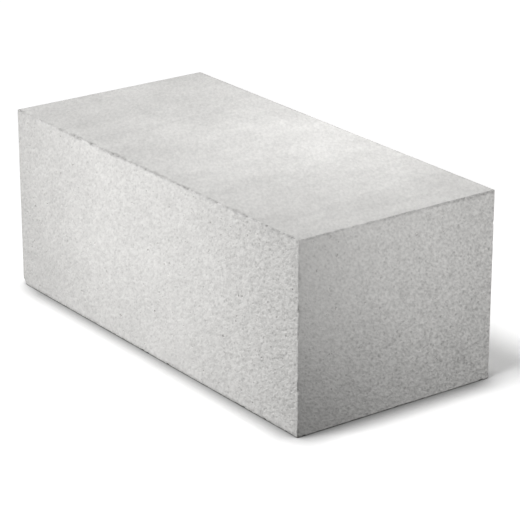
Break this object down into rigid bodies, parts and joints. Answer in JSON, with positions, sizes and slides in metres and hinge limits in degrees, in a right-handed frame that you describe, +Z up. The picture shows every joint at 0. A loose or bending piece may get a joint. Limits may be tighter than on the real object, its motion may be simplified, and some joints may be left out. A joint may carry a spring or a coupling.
{
  "type": "aerated concrete block",
  "caption": "Solid rectangular wall block of light grey aerated concrete with plain, finely pitted wire-cut faces and crisp edges, laid in courses to build walls.",
  "frame": {"origin": "middle of the underside, the bed face that the block rests on", "axes": "+X along the block's length, as it runs along a wall; +Y through the wall; +Z up"},
  "size_m": [0.625, 0.3, 0.25],
  "materials": {
    "aerated_concrete": "matte"
  },
  "bodies": {
    "root": {"block": "aerated_concrete"}
  },
  "joints": []
}
